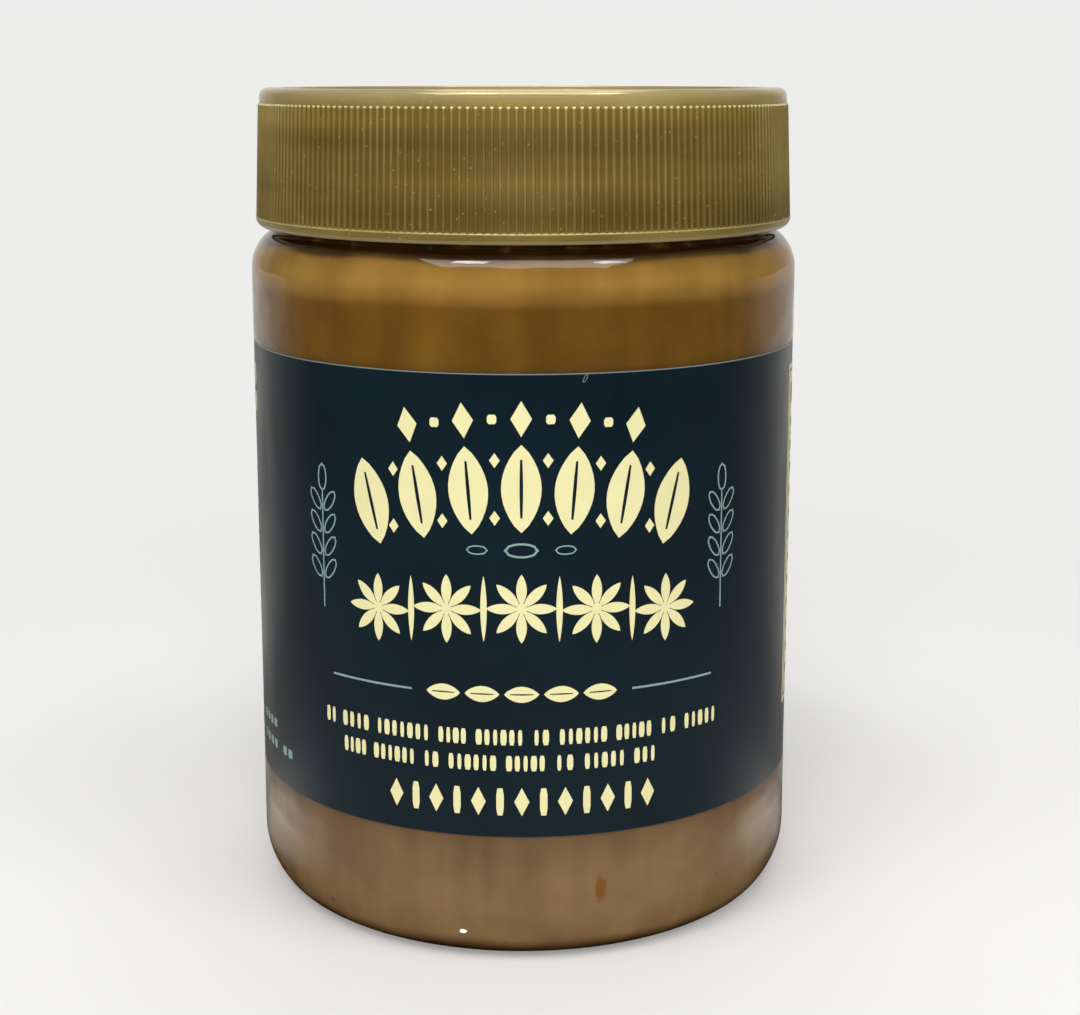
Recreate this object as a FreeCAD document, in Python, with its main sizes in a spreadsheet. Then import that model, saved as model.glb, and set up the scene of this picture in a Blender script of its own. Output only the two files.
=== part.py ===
"""Jar of cookie butter: a clear PET jar filled with spread, a ribbed screw cap and a wrap label.

The frame is millimetres with +Z up. The origin is on the jar's axis, at the surface it stands on.
Every size is a cell of the spreadsheet "Sizes", and each sketch and feature is bound to it.
"""
import FreeCAD, Part
import math
import os

import Sketcher

SIZES = [
    # alias, value, meaning
    ("body_dia", 70.5, "outer diameter of the jar's body"),
    ("shoulder_level", 81.5, "height where the straight wall ends and the shoulder begins"),
    ("neck_rise", 20.9, "height of the jar's lip above the start of the shoulder"),
    ("neck_inset", 2.6, "how far the neck lies inside the body's wall"),
    ("wall", 0.9, "thickness of the blown wall"),
    ("neck_wall", 1.4, "thickness of the moulded neck"),
    ("foot_radius", 4.0, "rounding at the standing ring"),
    ("heel_radius", 9.0, "wider rounding from there up into the wall"),
    ("heel_level", 7.0, "height where the heel's rounding meets the straight wall"),
    ("shoulder_radius", 5.5, "rounding from the wall in to the neck"),
    ("cove_radius", 1.0, "hollow rounding where the shoulder meets the neck"),
    ("ring_width", 1.75, "width of the flat standing ring"),
    ("pushup", 3.6, "height of the push-up under the base, at the axis"),
    ("base_thick", 1.3, "thickness of the base, at the axis"),
    ("label_level", 16.5, "height of the label's lower edge"),
    ("label_drop", 9.2, "how far the label's upper edge lies below the shoulder"),
    ("label_thick", 0.12, "thickness of the label film"),
    ("label_gap", 0.05, "glue line between the label and its panel"),
    ("panel_margin", 0.6, "bare panel above and below the label"),
    ("headspace", 5.5, "how far the top of the spread lies below the lip"),
    ("fill_gap", 0.15, "clearance between the spread and the inside of the jar"),
    ("edge_gap", 1.83, "clearance between the cap's open edge and the shoulder below it"),
    ("top_thick", 1.2, "thickness of the cap's top over the lip"),
    ("rim_depth", 0.6, "depth of the panel sunk in the cap's top"),
    ("rim_width", 2.6, "distance from the skirt in to that panel"),
    ("rim_radius", 1.0, "rounding of the cap's top edge"),
    ("bore_gap", 0.3, "clearance of the cap's bore round the neck, at the lip"),
    ("bore_draft", 0.45, "how much wider the bore's radius is at the open edge"),
    ("skirt_wall", 0.8, "thickness of the skirt above the ribs"),
    ("skirt_draft", 0.55, "how much wider the skirt's radius is at the lower band"),
    ("band_height", 1.4, "height of the plain band below the ribs"),
    ("band_tuck", 0.7, "how far that band curves in to the open edge"),
    ("band_step", 0.05, "how far that band stands out beyond the ribs"),
    ("rim_band", 1.9, "height of the plain band above the ribs"),
    ("rib_count", 230, "number of grip ribs round the cap"),
    ("rib_height", 0.2, "how far a rib stands out of the skirt"),
    ("rib_foot", 0.46, "width of a rib where it leaves the skirt"),
    ("rib_crest", 0.2, "width of a rib at its crest"),
    ("rib_root", 0.15, "how far a rib reaches into the skirt and the lower band"),
]

ORIGIN = (-1, 1)
HORIZONTAL_AXIS = -1
VERTICAL_AXIS = -2


class Size(float):
    """A number that keeps the spreadsheet expression that it comes from."""

    def __new__(cls, value, expression):
        size = float.__new__(cls, value)
        size.expression = expression
        return size

    def _combined(self, sign, other, value):
        other_text = other.expression if isinstance(other, Size) else repr(other)
        return Size(value, f"({self.expression} {sign} {other_text})")

    def __add__(self, other):
        return self._combined("+", other, float(self) + float(other))

    def __sub__(self, other):
        return self._combined("-", other, float(self) - float(other))

    def __mul__(self, other):
        return self._combined("*", other, float(self) * float(other))

    def __truediv__(self, other):
        return self._combined("/", other, float(self) / float(other))


def root(size):
    """Return a size's square root."""
    return Size(math.sqrt(size), f"sqrt({size.expression})")


class Sizes:
    """The spreadsheet of driving dimensions, and the radii and levels that follow from them."""

    def __init__(self, doc):
        sheet = doc.addObject("Spreadsheet::Sheet", "Sizes")
        for row, (alias, value, meaning) in enumerate(SIZES, start=1):
            sheet.set(f"A{row}", meaning)
            sheet.set(f"B{row}", str(value))
            sheet.setAlias(f"B{row}", alias)
        doc.recompute()
        for alias, _, _ in SIZES:
            setattr(self, alias, Size(sheet.get(alias), f"Sizes.{alias}"))
        self._derive_jar()
        self._derive_cap()

    def _derive_jar(self):
        self.body_x = self.body_dia / 2
        self.neck_x = self.body_x - self.neck_inset
        self.lip_level = self.shoulder_level + self.neck_rise
        self.fill_level = self.lip_level - self.headspace
        self.label_top = self.shoulder_level - self.label_drop
        self.label_x = self.body_x - self.label_thick
        self.panel_x = self.label_x - self.label_gap

    def _derive_cap(self):
        self.cap_top = self.lip_level + self.top_thick + self.rim_depth
        self.bore_x = self.neck_x + self.bore_gap
        self.high_x = self.bore_x + self.skirt_wall
        self.floor_x = self.high_x + self.skirt_draft
        self.low_x = self.floor_x + self.rib_height + self.band_step
        self.edge_x = self.low_x - self.band_tuck
        reach = self.edge_x - (self.body_x - self.shoulder_radius)
        shoulder_rise = root(self.shoulder_radius * self.shoulder_radius - reach * reach)
        self.cap_level = self.shoulder_level + shoulder_rise + self.edge_gap
        self.band_top = self.cap_level + self.band_height
        self.rib_top = self.cap_top - self.rim_band


class Outline:
    """A closed outline in a sketch on one of a body's origin planes.

    Its edges are drawn end to end near their final place. Ties, shapes and sizes then fix them,
    and each size is bound to the spreadsheet. In an XZ sketch x is the radius and y the height.
    """

    def __init__(self, body, name, start, plane="XZ_Plane"):
        self.sketch = body.newObject("Sketcher::SketchObject", name)
        self.sketch.AttachmentSupport = [(origin_feature(body, plane), "")]
        self.sketch.MapMode = "FlatFace"
        self.at = FreeCAD.Vector(*start, 0)
        self.ends = []

    def line(self, x, y):
        """Draw a straight edge to (x, y) and return its number."""
        end = FreeCAD.Vector(x, y, 0)
        edge = self.sketch.addGeometry(Part.LineSegment(self.at, end), False)
        return self._added(edge, 1, 2, end)

    def arc(self, centre, end, clockwise=False):
        """Draw an arc round centre to end and return its number."""
        centre = FreeCAD.Vector(*centre, 0)
        end = FreeCAD.Vector(*end, 0)
        circle = Part.Circle(centre, FreeCAD.Vector(0, 0, 1), (self.at - centre).Length)
        angles = [math.atan2(point.y - centre.y, point.x - centre.x) for point in (self.at, end)]
        if clockwise:
            angles.reverse()
        edge = self.sketch.addGeometry(Part.ArcOfCircle(circle, *angles), False)
        if clockwise:
            return self._added(edge, 2, 1, end)
        return self._added(edge, 1, 2, end)

    def _added(self, edge, begin, finish, end):
        self.ends.append((begin, finish))
        self.at = end
        return edge

    def close(self, smooth=()):
        """Tie the end of each edge to the next one, smoothly after the edges named in smooth."""
        for edge, (_, finish) in enumerate(self.ends):
            following = (edge + 1) % len(self.ends)
            tie = "Tangent" if edge in smooth else "Coincident"
            self.fix(tie, edge, finish, following, self.ends[following][0])

    def end(self, edge):
        """Return an edge's far end, as a constraint names it."""
        return edge, self.ends[edge][1]

    def fix(self, kind, *elements):
        """Add a constraint that has no size."""
        self.sketch.addConstraint(Sketcher.Constraint(kind, *elements))

    def on_axis(self, point, axis=VERTICAL_AXIS):
        """Hold a point on one of the sketch's axes."""
        self.fix("PointOnObject", *point, axis)

    def across(self, point, size):
        """Set a point's distance from the vertical axis."""
        self._bind("DistanceX", (*ORIGIN, *point), size)

    def up(self, point, size):
        """Set a point's distance above the horizontal axis."""
        self._bind("DistanceY", (*ORIGIN, *point), size)

    def apart(self, left, right, size):
        """Set how far one point lies to the right of another."""
        self._bind("DistanceX", (*left, *right), size)

    def radius(self, edge, size):
        """Set an arc's radius."""
        self._bind("Radius", (edge,), size)

    def _bind(self, kind, elements, size):
        number = self.sketch.addConstraint(Sketcher.Constraint(kind, *elements, float(size)))
        self.sketch.setExpression(f"Constraints[{number}]", size.expression)


def origin_feature(body, role):
    """Return one of a body's origin planes or axes."""
    return next(feature for feature in body.Origin.OriginFeatures if feature.Role == role)


def make_body(doc, node):
    """Start the sub-part of a node."""
    body = doc.addObject("PartDesign::Body", f"{node}_body")
    body.Label = node
    body.Placement = FreeCAD.Placement()
    return body


def turn(body, kind, name, outline):
    """Turn an outline once round the vertical axis, as a Revolution or a Groove."""
    feature = body.newObject(f"PartDesign::{kind}", name)
    feature.Profile = outline.sketch
    feature.ReferenceAxis = (outline.sketch, ["V_Axis"])
    feature.Angle = 360
    body.Tip = feature
    return feature


def vessel_outline(body, name, sizes, inset, neck_inset, floor, dome, top):
    """Draw half the section of the jar's skin, or of what lies inside it.

    inset and neck_inset are how far it lies inside the jar's outside, on the body and on the
    neck. floor, dome and top are the heights of its standing ring, its base at the axis and its end.
    """
    wall_x = sizes.body_x - inset
    neck_x = sizes.neck_x - neck_inset
    foot = sizes.foot_radius - inset
    heel = sizes.heel_radius - inset
    shoulder = sizes.shoulder_radius - inset
    cove = sizes.cove_radius + neck_inset

    # Near places of the points where arcs meet. The sketch's own ties settle them exactly.
    heel_sine = (sizes.heel_level - sizes.foot_radius) / (sizes.heel_radius - sizes.foot_radius)
    heel_cosine = math.sqrt(1 - heel_sine ** 2)
    foot_centre = (wall_x - heel + (heel - foot) * heel_cosine, floor + foot)
    foot_end = (foot_centre[0] + foot * heel_cosine, foot_centre[1] - foot * heel_sine)
    ring_x = foot_centre[0] - sizes.ring_width
    dome_radius = (ring_x ** 2 + (dome - floor) ** 2) / (2 * (dome - floor))
    shoulder_centre = (wall_x - shoulder, sizes.shoulder_level)
    cove_run = neck_x + cove - shoulder_centre[0]
    cove_rise = math.sqrt((shoulder + cove) ** 2 - cove_run ** 2)
    cove_centre = (neck_x + cove, sizes.shoulder_level + cove_rise)
    meeting = shoulder / (shoulder + cove)
    shoulder_end = (
        shoulder_centre[0] + cove_run * meeting, shoulder_centre[1] + cove_rise * meeting)

    outline = Outline(body, name, (0, dome))
    base = outline.arc((0, dome - dome_radius), (ring_x, floor), clockwise=True)
    ring = outline.line(foot_centre[0], floor)
    foot_arc = outline.arc(foot_centre, foot_end)
    heel_arc = outline.arc((wall_x - heel, sizes.heel_level), (wall_x, sizes.heel_level))
    wall = outline.line(wall_x, sizes.shoulder_level)
    shoulder_arc = outline.arc(shoulder_centre, shoulder_end)
    cove_arc = outline.arc(cove_centre, (neck_x, cove_centre[1]), clockwise=True)
    neck = outline.line(neck_x, top)
    lid = outline.line(0, top)
    outline.line(0, dome)
    outline.close(smooth=(ring, foot_arc, heel_arc, wall, shoulder_arc, cove_arc))

    for edge in (ring, lid):
        outline.fix("Horizontal", edge)
    for edge in (wall, neck):
        outline.fix("Vertical", edge)
    outline.on_axis((base, 3))
    outline.on_axis((base, 2))
    outline.on_axis(outline.end(lid))
    outline.up((base, 2), dome)
    if floor:
        outline.up(outline.end(base), floor)
    else:
        outline.on_axis(outline.end(base), HORIZONTAL_AXIS)
    outline.apart(outline.end(base), outline.end(ring), sizes.ring_width)
    outline.radius(foot_arc, foot)
    outline.radius(heel_arc, heel)
    outline.up(outline.end(heel_arc), sizes.heel_level)
    outline.across(outline.end(wall), wall_x)
    outline.up(outline.end(wall), sizes.shoulder_level)
    outline.radius(shoulder_arc, shoulder)
    outline.radius(cove_arc, cove)
    outline.across(outline.end(neck), neck_x)
    outline.up(outline.end(neck), top)
    return outline


def band_outline(body, name, inner, outer, low, high):
    """Draw the section of a plain ring: its radii and its heights."""
    outline = Outline(body, name, (inner, low))
    bottom = outline.line(outer, low)
    outer_side = outline.line(outer, high)
    top = outline.line(inner, high)
    inner_side = outline.line(inner, low)
    outline.close()
    for edge in (bottom, top):
        outline.fix("Horizontal", edge)
    for edge in (outer_side, inner_side):
        outline.fix("Vertical", edge)
    outline.across(outline.end(inner_side), inner)
    outline.up(outline.end(inner_side), low)
    outline.across(outline.end(outer_side), outer)
    outline.up(outline.end(outer_side), high)
    return outline


def make_jar(doc, sizes):
    """The blown jar: its skin, the space inside it and the sunk panel for the label."""
    body = make_body(doc, "jar")
    outside = vessel_outline(
        body, "jar_outside", sizes, inset=0, neck_inset=0,
        floor=0, dome=sizes.pushup, top=sizes.lip_level)
    turn(body, "Revolution", "jar_skin", outside)
    inside = vessel_outline(
        body, "jar_inside", sizes, inset=sizes.wall, neck_inset=sizes.neck_wall,
        floor=sizes.wall, dome=sizes.pushup + sizes.base_thick,
        top=sizes.lip_level + sizes.wall)
    turn(body, "Groove", "jar_cavity", inside)
    panel = band_outline(
        body, "label_panel", sizes.panel_x, sizes.body_x + sizes.wall,
        sizes.label_level - sizes.panel_margin, sizes.label_top + sizes.panel_margin)
    turn(body, "Groove", "jar_panel", panel)
    return body


def make_spread(doc, sizes):
    """The spread: it fills the jar up to its level in the neck."""
    body = make_body(doc, "spread")
    outline = vessel_outline(
        body, "spread_section", sizes, inset=sizes.wall + sizes.fill_gap,
        neck_inset=sizes.neck_wall + sizes.fill_gap, floor=sizes.wall + sizes.fill_gap,
        dome=sizes.pushup + sizes.base_thick + sizes.fill_gap, top=sizes.fill_level)
    turn(body, "Revolution", "spread_fill", outline)
    return body


def make_label(doc, sizes):
    """The wrap label: a sleeve of film glued into its panel."""
    body = make_body(doc, "label")
    outline = band_outline(
        body, "label_section", sizes.label_x, sizes.body_x, sizes.label_level, sizes.label_top)
    turn(body, "Revolution", "label_sleeve", outline)
    return body


def cap_outline(body, sizes):
    """Draw half the cap's section: a drafted skirt, a rounded rim and a sunk top panel."""
    top = sizes.cap_top
    panel_level = top - sizes.rim_depth
    panel_x = sizes.high_x - sizes.rim_width
    rim = sizes.rim_radius
    band_radius = (sizes.band_tuck ** 2 + sizes.band_height ** 2) / (2 * sizes.band_tuck)

    outline = Outline(body, "cap_section", (0, panel_level))
    panel = outline.line(panel_x, panel_level)
    panel_wall = outline.line(panel_x, top)
    rim_flat = outline.line(sizes.high_x - rim, top)
    rim_arc = outline.arc(
        (sizes.high_x - rim, top - rim), (sizes.high_x, top - rim), clockwise=True)
    rim_side = outline.line(sizes.high_x, sizes.rib_top)
    skirt = outline.line(sizes.floor_x, sizes.band_top)
    ledge = outline.line(sizes.low_x, sizes.band_top)
    band = outline.arc(
        (sizes.low_x - band_radius, sizes.band_top), (sizes.edge_x, sizes.cap_level),
        clockwise=True)
    edge = outline.line(sizes.bore_x + sizes.bore_draft, sizes.cap_level)
    bore = outline.line(sizes.bore_x, sizes.lip_level)
    seat = outline.line(0, sizes.lip_level)
    outline.line(0, panel_level)
    outline.close(smooth=(rim_flat, rim_arc))

    for level_edge in (panel, rim_flat, ledge, edge, seat):
        outline.fix("Horizontal", level_edge)
    for upright_edge in (panel_wall, rim_side):
        outline.fix("Vertical", upright_edge)
    outline.fix("Horizontal", band, 3, band, 2)
    outline.on_axis(outline.end(seat))
    outline.on_axis((panel, 1))
    outline.across(outline.end(panel), panel_x)
    outline.up(outline.end(panel), panel_level)
    outline.up(outline.end(panel_wall), top)
    outline.radius(rim_arc, rim)
    outline.across(outline.end(rim_side), sizes.high_x)
    outline.up(outline.end(rim_side), sizes.rib_top)
    outline.across(outline.end(skirt), sizes.floor_x)
    outline.up(outline.end(skirt), sizes.band_top)
    outline.across(outline.end(ledge), sizes.low_x)
    outline.across(outline.end(band), sizes.edge_x)
    outline.up(outline.end(band), sizes.cap_level)
    outline.across(outline.end(edge), sizes.bore_x + sizes.bore_draft)
    outline.across(outline.end(bore), sizes.bore_x)
    outline.up(outline.end(bore), sizes.lip_level)
    return outline


def rib_outline(body, sizes, start_level, foot_x):
    """Draw a rib's section: a flat crest, and flanks that run on down into the skirt."""
    root_x = foot_x - sizes.rib_root
    crest_x = foot_x + sizes.rib_height
    half_crest = sizes.rib_crest / 2
    slope = (sizes.rib_foot - sizes.rib_crest) / (sizes.rib_height * 2)
    half_root = half_crest + slope * (sizes.rib_height + sizes.rib_root)
    outline = Outline(body, "rib_section", (root_x, -half_root), plane="XY_Plane")
    outline.sketch.setExpression("AttachmentOffset.Base.z", start_level.expression)
    low_flank = outline.line(crest_x, -half_crest)
    crest = outline.line(crest_x, half_crest)
    high_flank = outline.line(root_x, half_root)
    root_edge = outline.line(root_x, -half_root)
    outline.close()
    for low, high in ((low_flank, crest), (root_edge, high_flank)):
        outline.fix("Symmetric", *outline.end(low), *outline.end(high), HORIZONTAL_AXIS)
    outline.across(outline.end(crest), crest_x)
    outline.up(outline.end(crest), half_crest)
    outline.across(outline.end(high_flank), root_x)
    outline.up(outline.end(high_flank), half_root)
    return outline


def make_cap(doc, sizes):
    """The moulded screw cap: its shell, then one grip rib repeated round the skirt.

    The ribs lean with the skirt's draft. Their upper ends stand free below the rim, and their
    lower ends run into the plain band.
    """
    body = make_body(doc, "cap")
    turn(body, "Revolution", "cap_shell", cap_outline(body, sizes))

    lean = sizes.skirt_draft / (sizes.rib_top - sizes.band_top)
    start_level = sizes.band_top - sizes.rib_root
    section = rib_outline(body, sizes, start_level, sizes.floor_x + lean * sizes.rib_root)
    rib = body.newObject("PartDesign::Pad", "cap_rib")
    rib.Profile = section.sketch
    rib.UseCustomVector = True
    rib.Direction = FreeCAD.Vector(-lean, 0, 1)
    rib.setExpression("Direction.x", (lean * -1).expression)
    rib.AlongSketchNormal = True
    rib.setExpression("Length", (sizes.rib_top - start_level).expression)
    doc.recompute()

    ribs = body.newObject("PartDesign::PolarPattern", "cap_ribs")
    ribs.Originals = [rib]
    ribs.Axis = (origin_feature(body, "Z_Axis"), [""])
    ribs.Angle = 360
    ribs.setExpression("Occurrences", sizes.rib_count.expression)
    body.Tip = ribs
    return body


def check(doc, bodies):
    """Stop if any object failed to build or any sub-part is not one sound solid."""
    for item in doc.Objects:
        if "Invalid" in item.State or "Error" in item.State:
            raise RuntimeError(f"{item.Label} failed to build: {item.State}")
    for body in bodies:
        shape = body.Shape
        if shape.isNull() or not shape.isValid() or len(shape.Solids) != 1:
            raise RuntimeError(f"{body.Label} is not one valid solid")


def main():
    doc = FreeCAD.newDocument("CookieButterJar")
    sizes = Sizes(doc)
    bodies = [make(doc, sizes) for make in (make_jar, make_spread, make_label, make_cap)]
    doc.recompute()
    check(doc, bodies)
    os.makedirs("parts", exist_ok=True)
    for body in bodies:
        body.Shape.exportStep(f"parts/{body.Label}.step")
        print(f"{body.Label}: {body.Shape.Volume / 1000:.2f} ml, {len(body.Shape.Faces)} faces")


main()
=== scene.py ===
"""Jar of cookie butter, dressed: clear PET jar, smooth spread, wrap label and gold cap."""
import math

import bmesh
import bpy
from bpy.props import FloatProperty, FloatVectorProperty, IntProperty, PointerProperty
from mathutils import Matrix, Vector


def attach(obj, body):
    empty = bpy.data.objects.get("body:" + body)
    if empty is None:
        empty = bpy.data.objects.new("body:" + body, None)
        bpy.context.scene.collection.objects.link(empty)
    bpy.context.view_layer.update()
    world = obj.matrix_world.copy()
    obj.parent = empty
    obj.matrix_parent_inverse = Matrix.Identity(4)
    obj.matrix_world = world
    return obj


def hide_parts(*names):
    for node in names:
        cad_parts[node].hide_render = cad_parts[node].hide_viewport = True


bl_info = {
    "name": "Cookie butter jar",
    "version": (1, 0, 0),
    "blender": (4, 5, 0),
    "location": "3D View > Sidebar > Cookie Jar",
    "description": "Models a filled clear jar with a wrap label and a ribbed screw cap",
    "category": "Object",
}

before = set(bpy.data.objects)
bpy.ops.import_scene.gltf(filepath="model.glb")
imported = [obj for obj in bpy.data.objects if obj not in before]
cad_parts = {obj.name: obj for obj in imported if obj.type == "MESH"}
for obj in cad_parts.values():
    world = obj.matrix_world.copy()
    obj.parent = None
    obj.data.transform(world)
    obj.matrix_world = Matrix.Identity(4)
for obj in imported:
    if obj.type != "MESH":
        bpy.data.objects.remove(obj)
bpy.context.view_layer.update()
MM = 0.001
MERGE = 0.002 * MM  # vertices closer than this are merged


def linear(text):
    """Turn an sRGB hex colour into a linear RGBA tuple."""
    channels = [int(text[i:i + 2], 16) / 255 for i in (1, 3, 5)]
    return tuple(
        c / 12.92 if c <= 0.04045 else ((c + 0.055) / 1.055) ** 2.4 for c in channels) + (1,)


def length(name, description, millimetres):
    """A length property, given in millimetres and kept in metres."""
    return FloatProperty(
        name=name, description=description, default=millimetres * MM, min=0, unit="LENGTH",
        precision=5)


def colour(name, description, text):
    """A colour property, given as an sRGB hex value and kept linear."""
    return FloatVectorProperty(
        name=name, description=description, default=linear(text), size=4, min=0, max=1,
        subtype="COLOR")


class JarSizes(bpy.types.PropertyGroup):
    """Sizes of the blown jar and of what fills it."""

    body_radius: length("Body radius", "Outer radius of the straight wall", 35.25)
    neck_radius: length("Neck radius", "Outer radius of the neck", 32.65)
    wall: length("Wall", "Thickness of the blown wall", 0.9)
    neck_wall: length("Neck wall", "Thickness of the moulded neck", 1.4)
    ring_inner: length("Ring radius", "Inner radius of the standing ring", 28.5)
    foot_radius: length("Foot rounding", "Rounding at the standing ring", 4.0)
    foot_centre: length("Foot centre", "Radius at which the foot's rounding is centred", 30.25)
    heel_radius: length("Heel rounding", "Rounding from the foot up into the wall", 9.0)
    heel_level: length("Heel level", "Height where the straight wall begins", 7.0)
    pushup: length("Push-up", "Height of the push-up under the base", 3.6)
    base_thick: length("Base", "Thickness of the base at the axis", 1.3)
    panel_low: length("Panel foot", "Height where the sunk label panel begins", 15.9)
    panel_high: length("Panel head", "Height where the sunk label panel ends", 72.9)
    panel_depth: length("Panel depth", "How far the label panel is sunk", 0.17)
    panel_slope: length("Panel slope", "Height of the slope at each end of the panel", 0.85)
    shoulder_level: length("Shoulder level", "Height where the shoulder begins", 81.5)
    shoulder_radius: length("Shoulder rounding", "Rounding of the shoulder", 5.5)
    cove_radius: length("Cove", "Hollow rounding between shoulder and neck", 1.0)
    lip_level: length("Lip level", "Height of the lip", 102.4)
    fill_level: length("Fill level", "Height of the top of the spread", 96.9)
    crown: length("Crown", "How far the top of the spread swells up", 0.4)
    wetting: length("Wetting", "How far the spread reaches into the wall", 0.1)


class CapSizes(bpy.types.PropertyGroup):
    """Sizes of the moulded screw cap."""

    top_level: length("Top level", "Height of the cap's rim", 104.2)
    panel_level: length("Panel level", "Height of the panel sunk in the top", 103.6)
    panel_radius: length("Panel radius", "Radius of the panel sunk in the top", 31.15)
    panel_fillet: length("Panel fillet", "Roundings of the step down to the panel", 0.25)
    rim_radius: length("Rim rounding", "Rounding of the top edge", 1.0)
    high_radius: length("Upper radius", "Radius of the plain upper band", 33.75)
    rib_top: length("Rib head", "Height where the ribs end", 102.3)
    low_radius: length("Skirt radius", "Radius of the skirt where it meets the lower band", 34.3)
    band_radius: length("Band radius", "Radius of the plain lower band", 34.55)
    band_level: length("Band level", "Height of the lower band's upper edge", 88.15)
    edge_radius: length("Edge radius", "Radius of the open edge", 33.85)
    edge_level: length("Edge level", "Height of the open edge", 87.0)
    edge_round: length("Edge rounding", "Rounding of the open edge", 0.15)
    bore_low: length("Bore radius, low", "Radius of the bore at the open edge", 33.4)
    bore_high: length("Bore radius, high", "Radius of the bore at the seat", 32.95)
    seat_level: length("Seat level", "Height of the inside of the top", 102.4)
    rib_count: IntProperty(name="Ribs", description="Number of grip ribs", default=230, min=3)
    rib_height: length("Rib height", "How far a rib stands out", 0.2)
    rib_foot: length("Rib foot", "Width of a rib at its foot", 0.5)
    rib_crest: length("Rib crest", "Width of a rib at its crest", 0.26)
    rib_sunk: length("Rib sunk", "How far a rib reaches into the skirt", 0.12)
    rib_root: length("Rib root", "How far a rib reaches down into the lower band", 0.1)
    crest_round: length("Crest rounding", "Rounding of a rib's crest", 0.09)
    head_round: length("Head rounding", "Rounding of a rib's head", 0.2)
    ledge: length("Ledge rounding", "Rounding of the lower band's upper edge", 0.16)


class LabelSizes(bpy.types.PropertyGroup):
    """Sizes and colours of the printed wrap label."""

    radius: length("Radius", "Outer radius of the film", 35.22)
    thickness: length("Thickness", "Thickness of the film", 0.1)
    low: length("Lower edge", "Height of the lower edge", 16.5)
    high: length("Upper edge", "Height of the upper edge", 72.3)
    ink: length("Ink", "How far the print lies above the film", 0.02)
    field: colour("Field", "Colour of the label's dark field", "#051922")
    cream: colour("Cream", "Colour of the pale print", "#dad49f")
    sage: colour("Sage", "Colour of the thin green-grey print", "#7f9a94")
    line: length("Line", "Width of the thin printed lines", 0.26)


class StageSizes(bpy.types.PropertyGroup):
    """Camera, floor and lamps."""

    camera_distance: length("Camera distance", "Distance from the jar's axis", 250.2)
    camera_height: length("Camera height", "Height above the floor", 106)
    camera_side: length("Camera side step", "How far the camera stands to the right", 2.15)
    camera_pitch: FloatProperty(
        name="Camera pitch", description="How far the camera looks down", default=0.1813,
        subtype="ANGLE")
    focal_length: FloatProperty(
        name="Focal length", description="In millimetres on a 36 mm sensor", default=63.7, min=1)
    camera_rise: FloatProperty(
        name="Camera rise", description="Vertical lens shift, in image widths", default=-0.0778)
    floor_size: length("Floor", "Side of the floor", 4000)
    backdrop: colour("Backdrop", "Colour behind the jar", "#ededec")
    floor: colour("Floor colour", "Colour of the floor", "#f1f0ee")
    gloss: colour("Room in gloss", "Colour of the room that gloss shows behind the jar", "#f4f1ea")
    ambient: FloatProperty(
        name="Ambient", description="Strength of the even room light", default=0.23, min=0)
    front_dim: FloatProperty(
        name="Front of the room", description="Brightness that gloss shows there", default=0.1,
        min=0)
    back_glow: FloatProperty(
        name="Back of the room", description="Brightness that gloss shows there", default=0.75,
        min=0)
    fade_start: length("Fade start", "Radius at which the floor begins to fade", 70)
    fade_end: length("Fade end", "Radius at which the floor is the backdrop's colour", 260)
    lamp_aim: length("Lamp aim", "Height on the jar's axis that the lamps point at", 50)


# ---------------------------------------------------------------- modelling

def deselect():
    """Leave edit mode and select nothing."""
    if bpy.context.object and bpy.context.object.mode != "OBJECT":
        bpy.ops.object.mode_set(mode="OBJECT")
    bpy.ops.object.select_all(action="DESELECT")


def select(*pieces):
    """Select these pieces alone, with the first one active."""
    deselect()
    for piece in pieces:
        piece.select_set(True)
    bpy.context.view_layer.objects.active = pieces[0]


def settle():
    """Apply the place, turn and scale of the selected object to its mesh."""
    bpy.ops.object.transform_apply(location=True, rotation=True, scale=True)


def arc(centre, radius, start, end, steps):
    """Points on an arc in the half section, with its angles in degrees."""
    turns = [math.radians(start + (end - start) * i / steps) for i in range(steps + 1)]
    return [(centre[0] + radius * math.cos(t), centre[1] + radius * math.sin(t)) for t in turns]


def trace(name, outline):
    """Draw a half section: a plane merged to one point, then extruded along the outline."""
    deselect()
    bpy.ops.mesh.primitive_plane_add(size=MM)
    piece = bpy.context.object
    piece.name = piece.data.name = name
    bpy.ops.object.mode_set(mode="EDIT")
    bpy.ops.mesh.select_all(action="SELECT")
    bpy.ops.mesh.merge(type="CENTER")
    corners = [Vector((radius, 0, level)) for radius, level in outline]
    bpy.ops.transform.translate(value=corners[0])
    for corner, following in zip(corners, corners[1:]):
        bpy.ops.mesh.extrude_region_move(TRANSFORM_OT_translate={"value": following - corner})
    return piece


def turn(piece, steps, angle=35):
    """Spin the outline being edited once round the jar's axis, and smooth it."""
    bpy.ops.mesh.select_all(action="SELECT")
    bpy.ops.mesh.spin(steps=steps, angle=math.tau, center=(0, 0, 0), axis=(0, 0, 1))
    bpy.ops.mesh.select_all(action="SELECT")
    bpy.ops.mesh.remove_doubles(threshold=MERGE)
    bpy.ops.mesh.normals_make_consistent(inside=False)
    bpy.ops.object.mode_set(mode="OBJECT")
    bpy.ops.object.shade_smooth_by_angle(angle=math.radians(angle))


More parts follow.
